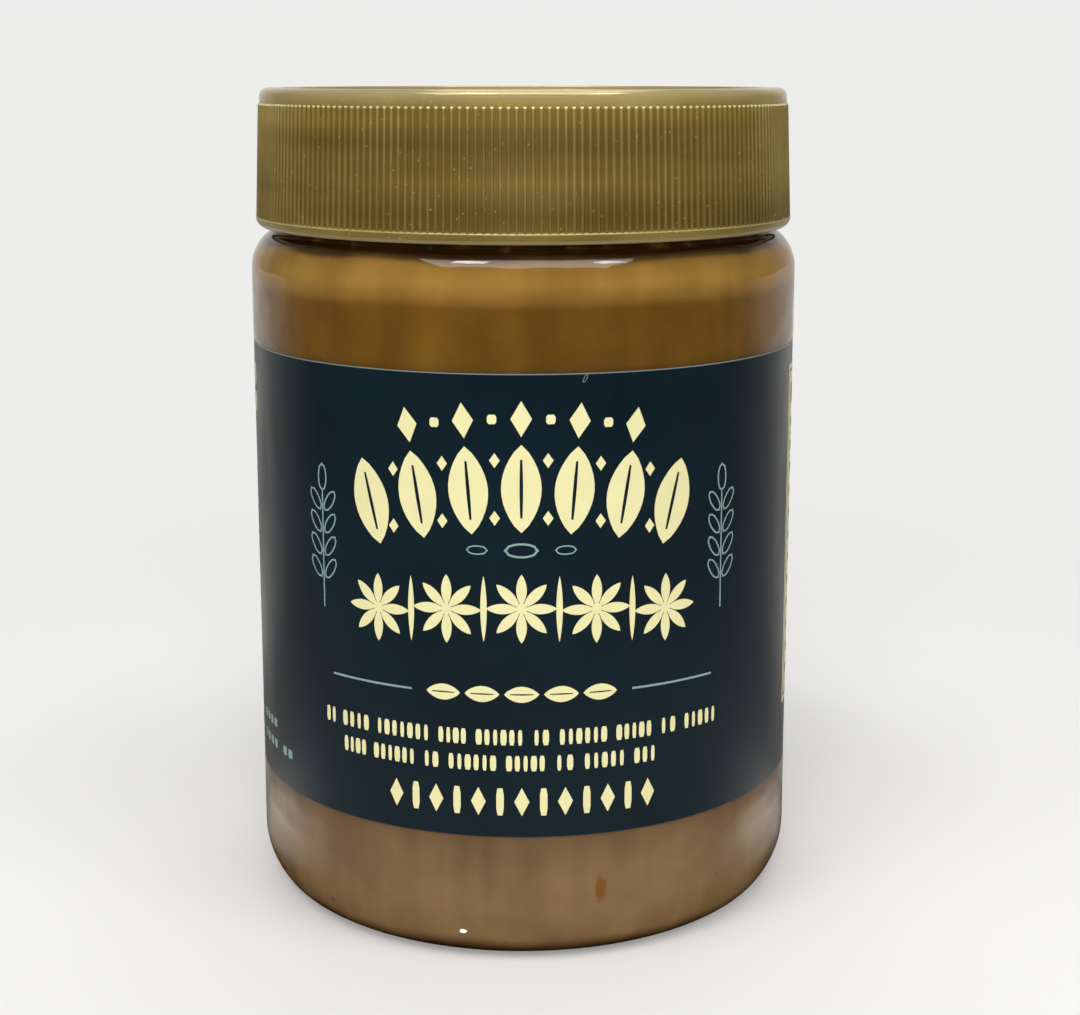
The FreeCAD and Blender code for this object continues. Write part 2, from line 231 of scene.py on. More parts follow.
def vessel(sizes, inset, neck_inset, floor, dome, top, panel=0):
    """Half section of the jar's skin, or of what lies inside it, from the axis up to the neck.

    Each rounding runs into the next at the angle where their centres and the joint are in line.
    """
    wall = sizes.body_radius - inset
    neck = sizes.neck_radius - neck_inset
    ring = sizes.ring_inner
    dome_radius = (ring ** 2 + (dome - floor) ** 2) / (2 * (dome - floor))
    dome_angle = math.degrees(math.asin(ring / dome_radius))
    outline = arc((0, dome - dome_radius), dome_radius, 90, 90 - dome_angle, 16)
    foot = sizes.foot_radius - inset
    heel = sizes.heel_radius - inset
    joint = math.degrees(math.atan2(
        sizes.heel_level - sizes.foot_radius,
        sizes.foot_centre - sizes.body_radius + sizes.heel_radius))
    outline += arc((sizes.foot_centre, floor + foot), foot, -90, -joint, 10)
    outline += arc((wall - heel, sizes.heel_level), heel, -joint, 0, 8)[1:]
    outline.append((wall, sizes.panel_low))
    if panel:
        outline += [
            (wall - panel, sizes.panel_low + sizes.panel_slope),
            (wall - panel, sizes.panel_high - sizes.panel_slope)]
    outline.append((wall, sizes.panel_high))
    shoulder = sizes.shoulder_radius - inset
    cove = sizes.cove_radius + neck_inset
    centre = wall - shoulder
    run = neck + cove - centre
    rise = math.sqrt((shoulder + cove) ** 2 - run ** 2)
    bend = math.degrees(math.atan2(rise, run))
    outline += arc((centre, sizes.shoulder_level), shoulder, 0, bend, 14)
    outline += arc((neck + cove, sizes.shoulder_level + rise), cove, bend - 180, -180, 6)[1:]
    outline.append((neck, top))
    return outline


def make_jar(sizes):
    """Blown PET jar: skin and inner wall in one outline, closed over the lip."""
    skin = vessel(sizes, 0, 0, 0, sizes.pushup, sizes.lip_level, sizes.panel_depth)
    inside = vessel(
        sizes, sizes.wall, sizes.neck_wall, sizes.wall, sizes.pushup + sizes.base_thick,
        sizes.lip_level)
    jar = trace("jar_clear_wall", skin + inside[::-1])
    turn(jar, 256)
    return jar


def make_spread(sizes):
    """The spread: it wets the wall all round, so that no air shows between them."""
    inset = sizes.wall - sizes.wetting
    side = vessel(
        sizes, inset, sizes.neck_wall - sizes.wetting, inset,
        sizes.pushup + sizes.base_thick - sizes.wetting, sizes.fill_level)
    neck = side[-1][0]
    crown = [
        (neck * part, sizes.fill_level + sizes.crown * (1 - part ** 2))
        for part in (0.75, 0.5, 0.25, 0)]
    spread = trace("spread_fill", side + crown)
    turn(spread, 224)
    return spread


def make_cap_shell(sizes):
    """Cap body: sunk top panel, rounded rim, drafted skirt, lower band and open bore."""
    rim = sizes.rim_radius
    top = sizes.top_level
    tuck = sizes.band_radius - sizes.edge_radius
    drop = sizes.band_level - sizes.edge_level
    band = (tuck ** 2 + drop ** 2) / (2 * tuck)
    band_angle = math.degrees(math.asin(drop / band))
    fillet = sizes.panel_fillet
    ledge = sizes.ledge
    edge = sizes.edge_round
    outline = [(0, sizes.panel_level), (sizes.panel_radius * 0.6, sizes.panel_level)]
    outline += arc(
        (sizes.panel_radius - fillet, sizes.panel_level + fillet), fillet, -90, 0, 4)
    outline += arc((sizes.panel_radius + fillet, top - fillet), fillet, 180, 90, 4)
    outline += arc((sizes.high_radius - rim, top - rim), rim, 90, 0, 10)
    outline += [(sizes.high_radius, sizes.rib_top), (sizes.low_radius, sizes.band_level + ledge)]
    outline += arc((sizes.band_radius - ledge, sizes.band_level - ledge), ledge, 90, 0, 3)
    outline += arc(
        (sizes.band_radius - band, sizes.band_level - ledge), band, 0, -band_angle, 6)[1:]
    outline += arc((sizes.edge_radius - edge, sizes.edge_level + edge), edge, -30, -90, 3)
    outline += [
        (sizes.bore_low, sizes.edge_level), (sizes.bore_high, sizes.seat_level),
        (0, sizes.seat_level)]
    shell = trace("cap_shell", outline)
    turn(shell, 240, 40)
    return shell


def make_cap_ribs(sizes):
    """Grip ribs: one tapered bar with a rounded crest and head, repeated round the skirt."""
    deselect()
    low = sizes.band_level - sizes.rib_root
    high = sizes.rib_top
    depth = sizes.rib_height + sizes.rib_sunk
    middle = (sizes.high_radius - sizes.rib_sunk + depth / 2, 0, (low + high) / 2)
    bpy.ops.mesh.primitive_cube_add(size=1, location=middle)
    ribs = bpy.context.object
    ribs.name = ribs.data.name = "cap_ribs"
    ribs.scale = (depth, sizes.rib_foot, high - low)
    settle()
    bpy.ops.object.mode_set(mode="EDIT")
    narrow_rib(ribs, sizes, middle)
    bpy.ops.mesh.select_all(action="SELECT")
    bpy.ops.mesh.remove_doubles(threshold=MERGE)
    bpy.ops.mesh.dissolve_degenerate(threshold=MERGE)
    bpy.ops.mesh.select_all(action="SELECT")
    steps = sizes.rib_count - 1
    bpy.ops.mesh.spin(
        steps=steps, dupli=True, angle=math.tau * steps / sizes.rib_count,
        center=(0, 0, 0), axis=(0, 0, 1))
    bpy.ops.mesh.select_all(action="SELECT")
    bpy.ops.mesh.normals_make_consistent(inside=False)
    bpy.ops.object.mode_set(mode="OBJECT")
    bpy.ops.object.shade_smooth_by_angle(angle=math.radians(50))
    return ribs


def pick(piece, test, kind="verts"):
    """Select the vertices, edges or faces being edited whose middle passes a test."""
    mesh = bmesh.from_edit_mesh(piece.data)
    bpy.ops.mesh.select_all(action="DESELECT")
    for part in getattr(mesh, kind):
        corners = [part] if kind == "verts" else part.verts
        middle = sum((corner.co for corner in corners), Vector()) / len(corners)
        if test(middle, part):
            part.select_set(True)
    mesh.select_flush_mode()
    bmesh.update_edit_mesh(piece.data)


def narrow_rib(ribs, sizes, middle):
    """Taper the bar to its crest, give it the skirt's draft, and round its crest and head."""
    crest = sizes.high_radius + sizes.rib_height
    bpy.ops.mesh.select_mode(type="VERT")
    pick(ribs, lambda at, part: at.x > middle[0])
    bpy.ops.transform.resize(
        value=(1, sizes.rib_crest / sizes.rib_foot, 1), center_override=middle)
    pick(ribs, lambda at, part: at.z < middle[2])
    bpy.ops.transform.translate(value=(sizes.low_radius - sizes.high_radius, 0, 0))
    bpy.ops.mesh.select_mode(type="EDGE")
    # the two long edges of the crest
    pick(ribs, lambda at, part: at.x > middle[0] and abs(at.y) > 0.01 * MM
         and abs(at.z - middle[2]) < MM, "edges")
    bpy.ops.mesh.bevel(offset=sizes.crest_round, segments=3, affect="EDGES")
    # the end of the crest at the head
    pick(ribs, lambda at, part: at.z > sizes.rib_top - 0.001 * MM
         and at.x > crest - 0.06 * MM, "edges")
    bpy.ops.mesh.bevel(offset=sizes.head_round, segments=3, affect="EDGES")
    bpy.ops.mesh.select_mode(type="VERT")


def make_film(sizes):
    """Label film: a thin closed sleeve."""
    inner = sizes.radius - sizes.thickness
    outline = [
        (inner, sizes.low), (sizes.radius, sizes.low), (sizes.radius, sizes.high),
        (inner, sizes.high), (inner, sizes.low)]
    film = trace("label_film", outline)
    turn(film, 256)
    return film


# ---------------------------------------------------------------- print

ROW_PITCH = 1.6  # from dash to dash in an even row, in millimetres


def sheet(name, width, height, columns, rows):
    """A flat sheet that faces the front, centred on the origin, as a grid."""
    deselect()
    bpy.ops.mesh.primitive_grid_add(
        x_subdivisions=columns, y_subdivisions=rows, size=1, rotation=(math.pi / 2, 0, 0))
    piece = bpy.context.object
    piece.name = piece.data.name = name
    piece.scale = (width, height, 1)
    settle()
    return piece


def narrow_rows(piece, height, rows, widths):
    """Scale each row of a sheet to its share of the full width, and close the pointed ends."""
    bpy.ops.object.mode_set(mode="EDIT")
    bpy.ops.mesh.select_mode(type="VERT")
    for row, share in enumerate(widths):
        level = height * (row / rows - 0.5)
        pick(piece, lambda at, part: abs(at.z - level) < height / rows / 4)
        bpy.ops.transform.resize(value=(share, 1, 1), center_override=(0, 0, level))
    bpy.ops.mesh.select_all(action="SELECT")
    bpy.ops.mesh.remove_doubles(threshold=MERGE)
    bpy.ops.object.mode_set(mode="OBJECT")


def bellied(rows, power):
    """Row widths of a grain: nothing at both tips and full in the middle."""
    return [math.sin(math.pi * row / rows) ** power for row in range(rows + 1)]


def make_grain(name, width, height, split):
    """A grain with pointed ends, split down its middle like a kernel of wheat."""
    rows = 12
    grain = sheet(name, width, height, 5 if split else 2, rows)
    narrow_rows(grain, height, rows, bellied(rows, 0.75))
    if split:
        bpy.ops.object.mode_set(mode="EDIT")
        bpy.ops.mesh.select_mode(type="FACE")
        pick(
            grain, lambda at, part: abs(at.x) < 0.02 * width and abs(at.z) < 0.36 * height,
            "faces")
        bpy.ops.transform.resize(value=(0.45, 1, 1))
        bpy.ops.mesh.delete(type="FACE")
        bpy.ops.object.mode_set(mode="OBJECT")
    return grain


def make_lozenge(name, width, height):
    """A diamond."""
    lozenge = sheet(name, width, height, 2, 4)
    narrow_rows(lozenge, height, 4, (0, 0.5, 1, 0.5, 0))
    return lozenge


def make_dash():
    """A bar with clipped corners, 1 mm wide and high."""
    dash = sheet("dash", MM, MM, 2, 6)
    narrow_rows(dash, MM, 6, (0.5, 1, 1, 1, 1, 1, 0.5))
    dash.rotation_euler = (0, math.pi / 2, 0)
    settle()
    return dash


def make_ring(name, width, height, line):
    """The outline of a pointed oval, drawn in a thin line."""
    deselect()
    bpy.ops.mesh.primitive_circle_add(
        vertices=28, radius=height / 2, fill_type="NGON", rotation=(math.pi / 2, 0, 0))
    ring = bpy.context.object
    ring.name = ring.data.name = name
    settle()
    bpy.ops.object.mode_set(mode="EDIT")
    bpy.ops.mesh.select_all(action="SELECT")
    bpy.ops.transform.resize(value=(width / height, 1, 1))
    bpy.ops.mesh.select_mode(type="VERT")
    pick(ring, lambda at, part: abs(at.z) > 0.4 * height)
    bpy.ops.transform.resize(value=(0.55, 1, 1), center_override=(0, 0, 0))
    bpy.ops.mesh.select_mode(type="FACE")
    bpy.ops.mesh.select_all(action="SELECT")
    bpy.ops.mesh.inset(thickness=line)
    pick(ring, lambda at, part: len(part.verts) > 4, "faces")
    bpy.ops.mesh.delete(type="FACE")
    bpy.ops.object.mode_set(mode="OBJECT")
    return ring


def stamp(motif, across, up, turned=0.0, wide=1.0, tall=1.0):
    """Copy a motif, with its own mesh, to a place on the flat label, in millimetres."""
    select(motif)
    bpy.ops.object.duplicate(linked=False)
    copy = bpy.context.object
    copy.location = (across * MM, 0, up * MM)
    copy.rotation_euler = (0, turned, 0)
    copy.scale = (wide, 1, tall)
    settle()
    return copy


def gather(name, pieces):
    """Join copies into one piece."""
    select(*pieces)
    bpy.ops.object.join()
    joined = bpy.context.object
    joined.name = joined.data.name = name
    return joined


def discard(*pieces):
    """Delete the patterns that the copies were made from."""
    select(*pieces)
    bpy.ops.object.delete()


def wrap(piece, radius):
    """Bend a flat print round the jar, its middle to the front."""
    across = [vertex.co.x for vertex in piece.data.vertices]
    select(piece)
    bend = piece.modifiers.new("wrap", "SIMPLE_DEFORM")
    bend.deform_method = "BEND"
    bend.deform_axis = "Z"
    bend.angle = (max(across) - min(across)) / radius
    bpy.ops.object.modifier_apply(modifier=bend.name)
    piece.location = (0, -radius, 0)
    bpy.ops.object.transform_apply(location=True, rotation=False, scale=False)
    bpy.ops.object.shade_smooth()


def arched(across, middle, sag):
    """Height on an arch that drops by sag at 20 mm from its middle."""
    return middle - sag * (across / 20) ** 2


def cream_front():
    """Cream print of the front: friezes of grains, stars and lozenges, and lines of dashes."""
    crown, frieze, garland = (67.1, 2.4), (58.9, 2.8), (44.6, 1.2)  # middle and sag of each arch
    border = 20.9
    grain = make_grain("grain", 4.7 * MM, 10.4 * MM, True)
    kernel = make_grain("kernel", 1.25 * MM, 3.8 * MM, False)
    lozenge = make_lozenge("lozenge", 2.5 * MM, 4.2 * MM)
    dash = make_dash()
    star = gather("star", [
        stamp(kernel, 2.25 * math.sin(turned), 2.25 * math.cos(turned), turned)
        for turned in (math.tau * step / 8 for step in range(8))])
    made = []
    for step in range(-4, 5):
        across = 3.4 * step
        if step % 2:
            made.append(stamp(dash, across, arched(across, *crown), 0, 1.1, 1.1))
        else:
            made.append(stamp(lozenge, across, arched(across, *crown), 0.012 * across))
    for step in range(-3, 4):
        across = 6.2 * step
        made.append(stamp(grain, across, arched(across, *frieze), 0.013 * across))
        if step < 3:
            across += 3.1
            for rise in (-3.4, 3.4):
                up = arched(across, *frieze) + rise
                made.append(stamp(lozenge, across, up, 0, 0.5, 0.42))
    for step in range(-2, 3):
        across = 8.9 * step
        made.append(stamp(star, across, arched(across, *garland)))
        made.append(stamp(dash, across, arched(across, *garland), math.pi / 4, 1.2, 1.2))
        if step < 2:
            across += 4.45
            made.append(stamp(kernel, across, arched(across, *garland), 0, 0.62, 2.1))
    for step in range(-2, 3):
        made.append(stamp(grain, 4.7 * step, 34.2, math.pi / 2, 0.42, 0.4))
    made += text_lines(dash, 28.9, 26.5, 1.9, 4)
    made += text_lines(dash, 25.7, 23.5, 1.9, 7)
    for step in range(-6, 7):
        across = 2.6 * step
        if step % 2:
            made.append(stamp(dash, across, border, 0, 0.9, 3.4))
        else:
            made.append(stamp(lozenge, across, border, 0, 0.72, 0.84))
    discard(grain, kernel, lozenge, dash, star)
    return made


def text_lines(dash, up, reach, height, start):
    """A printed line as groups of strokes of uneven width, from -reach to reach."""
    widths = (2.6, 5.4, 3.2, 6.8, 1.9, 4.4, 7.3, 3.7, 5.9, 2.2, 6.1, 4.9)
    pitch, gap = 1.05, 0.9  # from stroke to stroke, and between two groups
    made = []
    across = -reach
    step = start
    while across + widths[step % len(widths)] <= reach:
        wide = widths[step % len(widths)]
        strokes = round(wide / pitch)
        for stroke in range(strokes):
            middle = across + wide * (stroke + 0.5) / strokes
            broad = 0.48 + 0.13 * ((stroke * 2 + step) % 3)
            made.append(stamp(dash, middle, up, 0, broad, height))
        across += wide + gap
        step += 1
    return made


def flat_block(name, left, right, low, high, line=0):
    """A filled field of the print, or only its border, in millimetres on the flat label."""
    if line:
        sides = ((left, right, high - line, high), (left, right, low, low + line),
                 (left, left + line, low, high), (right - line, right, low, high))
        return [block for side in sides for block in flat_block(name, *side)]
    columns = max(1, round(right - left))
    block = sheet(name, (right - left) * MM, (high - low) * MM, columns, 1)
    block.location = ((left + right) / 2 * MM, 0, (low + high) / 2 * MM)
    settle()
    return [block]


def sage_print(sizes):
    """Thin sage print: rules, outlined leaves, ears of wheat, short rows, and the film's lap."""
    line = sizes.line
    leaf = make_ring("leaf", 1.9 * MM, 4.3 * MM, line)
    ear = [stamp(leaf, 0, 9.6)]
    for step in range(4):
        for side in (-1, 1):
            ear.append(stamp(leaf, 1.5 * side, 6.2 - 3.4 * step, 0.6 * side, 0.9, 0.9))
    ear += flat_block("stem", -0.13, 0.13, -10, 7.4)
    ear = gather("ear", ear)
    made = [stamp(ear, side * 26.4, 50.5, 0, 0.82, 0.82) for side in (-1, 1)]
    made.append(stamp(ear, -53, 44, 0, 1.5, 1.5))
    for across, size in ((-5.2, 0.6), (0, 0.95), (5.2, 0.6)):
        made.append(stamp(leaf, across, 51.6, math.pi / 2, size, size))
    made += flat_block("lap", 97.9, 98.04, 16.6, 72.2)
    made.append(stamp(leaf, 7.4, 71.7, 0.5, 0.2, 0.25))
    for side in (-1, 1):
        middle = side * 19.2
        made += flat_block("rule", middle - 5.8, middle + 5.8, 34.07, 34.33)
    dash = make_dash()
    for up, right in ((23.8, -38), (21, -33.2)):
        made += text_row(dash, -59, right, up, 1.2)
    discard(leaf, ear, dash)
    return made


def text_row(dash, left, right, up, height):
    """A short row of even dashes between two places, with a gap after every fourth."""
    count = int((right - left) / ROW_PITCH)
    return [
        stamp(dash, left + ROW_PITCH * step, up, 0, 1.15, height)
        for step in range(count) if step % 5 != 3]


def cream_sides():
    """Cream print of the sides: a filled panel on the right, headings and a panel on the left."""
    dash = make_dash()
    made = flat_block("side_panel", 45.5, 80.5, 24.5, 69.5)
    made += flat_block("small_panel", -76.5, -59.5, 30, 38)
    for up, left, right in ((68.3, -66, -45.4), (64.6, -62, -46.5)):
        step = left
        while step < right:
            made.append(stamp(dash, step, up, 0, 1.3, 2.7))
            step += 1.9
    discard(dash)
    return made


def panel_rules():
    """Dark rules and dashes on the cream side panel, and bars on the small one."""
    left, right = 47.5, 78.5
    made = flat_block("panel_border", 46.2, 79.8, 25.2, 68.8, 0.35)
    made += flat_block("panel_head", left, right, 64.2, 66.8)
    dash = make_dash()
    for row in range(12):
        up = 61.6 - 3.0 * row
        made += flat_block("panel_rule", left, right, up - 1.5, up - 1.38)
        wide = 6 + 3.5 * ((row * 5) % 4)
        for step in range(int(wide / ROW_PITCH)):
            made.append(stamp(dash, 48.5 + ROW_PITCH * step, up, 0, 1.2, 1.3))
        made.append(stamp(dash, 76.1, up, 0, 2.6, 1.3))
    for bar in ((-75.1, -74.4), (-73.7, -72.1), (-71.4, -70.9), (-70, -68.4),
                (-67.6, -66.9), (-66.3, -65.8), (-64.9, -63.1), (-62.4, -61.6)):
        made += flat_block("panel_bar", *bar, 31.4, 36.6)
    discard(dash)
    return made


# ---------------------------------------------------------------- materials

PLAIN = {"data_type": "RGBA"}  # one colour laid over another
SOFT = {"data_type": "RGBA", "blend_type": "SOFT_LIGHT"}  # a colour made uneven by noise


def add_node(tree, kind, settings=None, **links):
    """Add a node, set its attributes, and set or link its inputs.

    An input is given by its name or, after an underscore, by its number. A node given as a value
    is linked by its first output.
    """
    node = tree.nodes.new(kind)
    for key, value in (settings or {}).items():
        setattr(node, key, value)
    for key, value in links.items():
        socket = node.inputs[int(key[1:]) if key[1:].isdigit() else key.replace("_", " ")]
        if isinstance(value, bpy.types.Node):
            value = value.outputs[0]
        if isinstance(value, bpy.types.NodeSocket):
            tree.links.new(value, socket)
        else:
            socket.default_value = value
    return node


def new_material(name):
    """Start a material: its tree, its Principled shader and the place on the object."""
    material = bpy.data.materials.new(name)
    material.use_nodes = True
    tree = material.node_tree
    place = add_node(tree, "ShaderNodeTexCoord").outputs["Object"]
    return material, tree, tree.nodes["Principled BSDF"], place


def wear(piece, material):
    """Give a piece one material."""
    piece.data.materials.clear()
    piece.data.materials.append(material)


def stretched_patches(tree, place, across, up, detail):
    """Uneven patches, so many metres wide and high."""
    scaled = add_node(
        tree, "ShaderNodeMapping", Vector=place, Scale=(1 / across, 1 / across, 1 / up))
    return add_node(tree, "ShaderNodeTexNoise", Vector=scaled, Scale=1.0, Detail=detail)


def specks(tree, place, pitch, edge, core, share):
    """Scattered specks, one in each cell of so many metres, with radii in shares of a cell."""
    cells = add_node(tree, "ShaderNodeTexVoronoi", Vector=place, Scale=1 / pitch)
    return add_node(
        tree, "ShaderNodeMapRange", Value=cells, From_Min=edge, From_Max=core, To_Max=share)


def clear_pet():
    """Blown PET: clear, high gloss, with a faint ripple from the mould."""
    material, tree, shader, place = new_material("pet_blown_clear")
    ripple = stretched_patches(tree, place, 9 * MM, 5 * MM, 1.0)
    bump = add_node(tree, "ShaderNodeBump", Height=ripple, Strength=1.0, Distance=0.35 * MM)
    tree.links.new(bump.outputs["Normal"], shader.inputs["Normal"])
    shader.inputs["Base Color"].default_value = linear("#f7f7f2")
    shader.inputs["Transmission Weight"].default_value = 1
    shader.inputs["Roughness"].default_value = 0.0
    shader.inputs["IOR"].default_value = 1.57
    return material


def biscuit_spread():
    """Fine biscuit paste: oily brown, with a painted light band at the shoulder and painted shade
    in the neck.

    It wets the PET, and an oily boundary has almost no gloss of its own.
    """
    material, tree, shader, place = new_material("biscuit_paste_smooth")
    level = add_node(tree, "ShaderNodeSeparateXYZ", Vector=place).outputs["Z"]
    shift = 1.6 * MM  # how far the patches move the colours up and down in all
    drift = add_node(tree, "ShaderNodeTexNoise", Vector=place, Scale=1 / (14.3 * MM), Detail=3.0)
    shifted = add_node(
        tree, "ShaderNodeMath", {"operation": "MULTIPLY_ADD"}, _0=drift, _1=shift, _2=level)
    height = add_node(
        tree, "ShaderNodeMapRange", Value=shifted, From_Min=shift / 2,
        From_Max=100 * MM + shift / 2)
    ramp = add_node(tree, "ShaderNodeValToRGB", Fac=height)
    stops = ramp.color_ramp.elements
    # Colours by height: the dark foot and the dark neck and top are painted shade, the lighter
    # band under the shoulder is painted light, and the greyer lower body is partly the paste's
    # tone and partly painted reflection of the floor.
    stops[0].color, stops[1].color = linear("#33220f"), linear("#1d1006")
    for position, text in (
            (0.012, "#3a2812"), (0.029, "#7c6242"), (0.17, "#694f33"), (0.72, "#60420f"),
            (0.795, "#61420f"), (0.806, "#7d5b26"), (0.822, "#8f6d2f"), (0.843, "#86642b"),
            (0.849, "#2a1808")):
        stops.new(position).color = linear(text)
    streaks = stretched_patches(tree, place, 5 * MM, 42 * MM, 2.0)
    paste = add_node(tree, "ShaderNodeMix", SOFT, _0=0.45, _6=ramp, _7=streaks).outputs[2]
    mottle = add_node(tree, "ShaderNodeTexNoise", Vector=place, Scale=1 / (6.25 * MM), Detail=4.0)
    paste = add_node(tree, "ShaderNodeMix", SOFT, _0=0.4, _6=paste, _7=mottle).outputs[2]
    crumbs = specks(tree, place, 4.76 * MM, 0.09, 0.05, 0.4)
    paste = add_node(
        tree, "ShaderNodeMix", PLAIN, _0=crumbs, _6=paste, _7=linear("#46290c")).outputs[2]
    neck = add_node(
        tree, "ShaderNodeMapRange", Value=level, From_Min=85.3 * MM, From_Max=86.2 * MM)
    lumps = add_node(tree, "ShaderNodeTexNoise", Vector=place, Scale=1 / (2.38 * MM), Detail=3.0)
    lumps = add_node(
        tree, "ShaderNodeMapRange", Value=lumps, From_Min=0.52, From_Max=0.68, To_Max=0.6)
    lumps = add_node(tree, "ShaderNodeMath", {"operation": "MULTIPLY"}, _0=neck, _1=lumps)
    paste = add_node(
        tree, "ShaderNodeMix", PLAIN, _0=lumps, _6=paste, _7=linear("#7a5320")).outputs[2]
    paste = add_node(
        tree, "ShaderNodeMix", PLAIN, _0=oil_drop(tree, place), _6=paste,
        _7=linear("#70430b")).outputs[2]
    tree.links.new(paste, shader.inputs["Base Color"])
    shader.inputs["Roughness"].default_value = 0.5
    shader.inputs["Specular IOR Level"].default_value = 0.0
    return material


def oil_drop(tree, place):
    """Share of a small amber run of oil with a frayed edge, low on the front of the spread."""
    across, up = 9.4, 9.2  # its middle, in millimetres
    stretch = 2.4  # how many times it is higher than wide
    scaled = add_node(
        tree, "ShaderNodeMapping", Vector=place, Location=(-across, 0, -up / stretch),
        Scale=(1 / MM, 0, 1 / MM / stretch))
    apart = add_node(
        tree, "ShaderNodeVectorMath", {"operation": "LENGTH"}, _0=scaled).outputs["Value"]
    frayed = add_node(
        tree, "ShaderNodeTexNoise", Vector=place, Scale=1 / (1.111 * MM), Detail=2.0)
    away = add_node(
        tree, "ShaderNodeMath", {"operation": "MULTIPLY_ADD"}, _0=frayed, _1=-0.9, _2=apart)
    drop = add_node(
        tree, "ShaderNodeMapRange", Value=away, From_Min=0.1, From_Max=0.35, To_Min=0.85,
        To_Max=0.0)
    depth = add_node(tree, "ShaderNodeSeparateXYZ", Vector=place).outputs["Y"]
    front = add_node(
        tree, "ShaderNodeMapRange", Value=depth, From_Min=-20 * MM, From_Max=-25 * MM)
    return add_node(tree, "ShaderNodeMath", {"operation": "MULTIPLY"}, _0=drop, _1=front)


def gold_polypropylene(sizes, name, low, high, rib_shade_colour=""):
    """Injection-moulded polypropylene with gold pearl pigment: satin, slightly metallic.

    The pigment lies in faint level bands with a few bright flakes. The skirt is painted lighter
    towards the top as painted light from above, and the top is glossier and painted paler as a
    painted reflection of the bright room. With a rib shade colour it is the shell, with painted
    shade behind the ribs, and without one the ribs, whose heads carry painted glints.
    """
    material, tree, shader, place = new_material(name)
    level = add_node(tree, "ShaderNodeSeparateXYZ", Vector=place).outputs["Z"]
    flow = add_node(tree, "ShaderNodeTexNoise", Vector=place, Scale=1 / (9.09 * MM), Detail=3.0)
    flow = add_node(tree, "ShaderNodeMapRange", Value=flow, From_Min=0.35, From_Max=0.65)
    paint = add_node(
        tree, "ShaderNodeMix", PLAIN, _0=flow, _6=linear(low), _7=linear(high)).outputs[2]
    if rib_shade_colour:
        paint = shaded_skirt(tree, sizes, level, paint, rib_shade_colour)
    else:
        # painted highlight: the rib heads are painted pale where they would catch the lamp
        painted_rib_glint = add_node(
            tree, "ShaderNodeMapRange", Value=level, From_Min=sizes.rib_top - 0.3 * MM,
            From_Max=sizes.rib_top - 0.12 * MM, To_Max=0.9)
        paint = add_node(
            tree, "ShaderNodeMix", PLAIN, _0=painted_rib_glint, _6=paint, _7=linear("#f2e3ab")).outputs[2]
    bands = stretched_patches(tree, place, 60 * MM, 3.2 * MM, 1.0)
    # painted light: the level bands are made darker low on the skirt and lighter towards the top
    rise = add_node(
        tree, "ShaderNodeMapRange", Value=level, From_Min=90 * MM, From_Max=101 * MM,
        To_Min=-0.24, To_Max=0.14)
    bands = add_node(tree, "ShaderNodeMath", {"operation": "ADD"}, _0=bands, _1=rise)
    paint = add_node(tree, "ShaderNodeMix", SOFT, _0=0.5, _6=paint, _7=bands).outputs[2]
    # painted reflection: the top is painted paler, standing in for the bright room in its gloss
    painted_top_reflection = add_node(
        tree, "ShaderNodeMapRange", Value=level, From_Min=sizes.rib_top,
        From_Max=sizes.top_level - 0.3 * MM, To_Max=0.55)
    paint = add_node(
        tree, "ShaderNodeMix", PLAIN, _0=painted_top_reflection, _6=paint, _7=linear("#cec194")).outputs[2]
    # real flakes are under 0.1 mm; these are as coarse as they need to be to show
    flakes = specks(tree, place, 1.111 * MM, 0.13, 0.06, 0.5)
    paint = add_node(
        tree, "ShaderNodeMix", PLAIN, _0=flakes, _6=paint, _7=linear("#cdbd83")).outputs[2]
    tree.links.new(paint, shader.inputs["Base Color"])
    grain = add_node(tree, "ShaderNodeTexNoise", Vector=place, Scale=1 / (0.25 * MM), Detail=1.0)
    bump = add_node(tree, "ShaderNodeBump", Height=grain, Strength=0.1, Distance=0.02 * MM)
    tree.links.new(bump.outputs["Normal"], shader.inputs["Normal"])
    finish = add_node(
        tree, "ShaderNodeMapRange", Value=level, From_Min=sizes.rib_top - 0.4 * MM,
        From_Max=sizes.top_level - 0.7 * MM, To_Min=0.32, To_Max=0.1)
    tree.links.new(finish.outputs["Result"], shader.inputs["Roughness"])
    shader.inputs["Metallic"].default_value = 0.35
    return material


